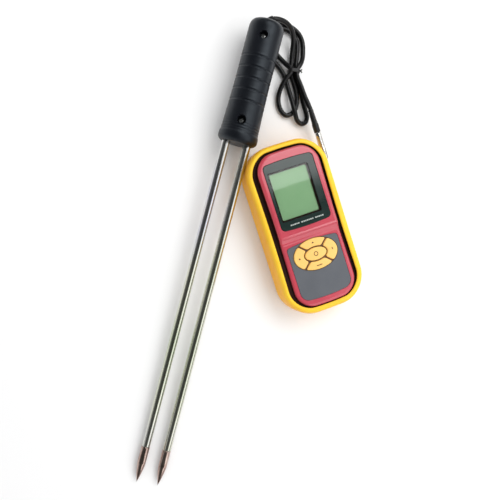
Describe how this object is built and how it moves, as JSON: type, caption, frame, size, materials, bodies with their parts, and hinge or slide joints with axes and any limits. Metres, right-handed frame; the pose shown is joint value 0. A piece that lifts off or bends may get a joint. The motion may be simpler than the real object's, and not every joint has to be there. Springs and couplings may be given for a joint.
{
  "type": "moisture meter",
  "caption": "Hand-held moisture meter in a rubber boot, with a two-rod push-in probe on a corded handle and a tied hank of cord.",
  "frame": {"origin": "centre of the boot's flat back face, on which the meter lies", "axes": "+Z out of the display face, +Y towards the display end of the meter; the probe lies beside it with its points towards -X -Y"},
  "size_m": [0.2802, 0.3776, 0.0392],
  "materials": {
    "boot_rubber": "satin",
    "case_plastic": "satin",
    "screw_steel": "polished",
    "dark_panel": "gloss",
    "clear_window": "gloss",
    "lcd": "satin",
    "white_plastic": "matte",
    "pink_rubber": "matte",
    "board": "satin",
    "black_plastic": "matte",
    "grey_panel": "satin",
    "mat_rubber": "matte",
    "key_plastic": "satin",
    "battery_wrap": "gloss",
    "contact_metal": "polished",
    "plug_metal": "polished",
    "cord_rubber": "satin",
    "red_wire": "gloss",
    "handle_plastic": "satin",
    "block_plastic": "matte",
    "rod_metal": "polished",
    "tip_metal": "polished"
  },
  "bodies": {
    "meter": {"battery_1": "battery_wrap", "battery_2": "battery_wrap", "battery_3": "battery_wrap", "battery_contact_lower": "contact_metal", "battery_contact_upper": "contact_metal", "board_screw_1": "screw_steel", "board_screw_2": "screw_steel", "case_screw_1": "screw_steel", "case_screw_2": "screw_steel", "case_screw_3": "screw_steel", "case_screw_4": "screw_steel", "controller_chip": "black_plastic", "cord_hank": "cord_rubber", "cord_tie": "cord_rubber", "display_bezel": "dark_panel", "display_window": "clear_window", "front_case": "case_plastic", "jack_socket": "black_plastic", "keypad_mat": "mat_rubber", "keypad_panel": "grey_panel", "lcd_connector": "pink_rubber", "lcd_glass": "lcd", "lcd_holder": "white_plastic", "main_board": "board", "rear_case": "case_plastic", "rubber_boot": "boot_rubber"},
    "key_up": {"key_up": "key_plastic"},
    "key_down": {"key_down": "key_plastic"},
    "key_left": {"key_left": "key_plastic"},
    "key_right": {"key_right": "key_plastic"},
    "key_centre": {"key_centre": "key_plastic"},
    "battery_cover": {"battery_cover": "case_plastic"},
    "plug": {"plug_pin": "plug_metal", "plug_barrel": "plug_metal", "plug_boot": "cord_rubber", "cord_run": "cord_rubber"},
    "probe": {"handle_lower_shell": "handle_plastic", "handle_screw_far": "screw_steel", "handle_screw_near": "screw_steel", "handle_upper_shell": "handle_plastic", "lug_left": "contact_metal", "lug_right": "contact_metal", "lug_screw_left": "contact_metal", "lug_screw_right": "contact_metal", "rod_left": "rod_metal", "rod_mount_block": "block_plastic", "rod_right": "rod_metal", "tip_left": "tip_metal", "tip_right": "tip_metal", "wire_left": "red_wire", "wire_right": "cord_rubber", "cord_gland": "cord_rubber", "cord_lead": "cord_rubber"}
  },
  "joints": [
    {"name": "key_up_press", "type": "slide", "parent": "meter", "child": "key_up", "axis": [0, 0, -1], "range_m": [0, 0.001], "stiffness_N_per_m": 250, "springref_m": -0.001},
    {"name": "key_down_press", "type": "slide", "parent": "meter", "child": "key_down", "axis": [0, 0, -1], "range_m": [0, 0.001], "stiffness_N_per_m": 250, "springref_m": -0.001},
    {"name": "key_left_press", "type": "slide", "parent": "meter", "child": "key_left", "axis": [0, 0, -1], "range_m": [0, 0.001], "stiffness_N_per_m": 250, "springref_m": -0.001},
    {"name": "key_right_press", "type": "slide", "parent": "meter", "child": "key_right", "axis": [0, 0, -1], "range_m": [0, 0.001], "stiffness_N_per_m": 250, "springref_m": -0.001},
    {"name": "key_centre_press", "type": "slide", "parent": "meter", "child": "key_centre", "axis": [0, 0, -1], "range_m": [0, 0.001], "stiffness_N_per_m": 250, "springref_m": -0.001},
    {"name": "battery_cover_hinge", "type": "hinge", "parent": "meter", "child": "battery_cover", "pos_m": [0, -0.0695, 0.0042], "axis": [-1, 0, 0], "range_deg": [0, 80]},
    {"name": "plug_unplug", "type": "slide", "parent": "meter", "child": "plug", "axis": [1, 0, 0], "range_m": [0, 0.02], "deforming": ["cord_run"]},
    {"name": "probe_lift", "type": "slide", "parent": "meter", "child": "probe", "axis": [0, 0, 1], "range_m": [0, 0.03], "deforming": ["cord_lead"]}
  ]
}
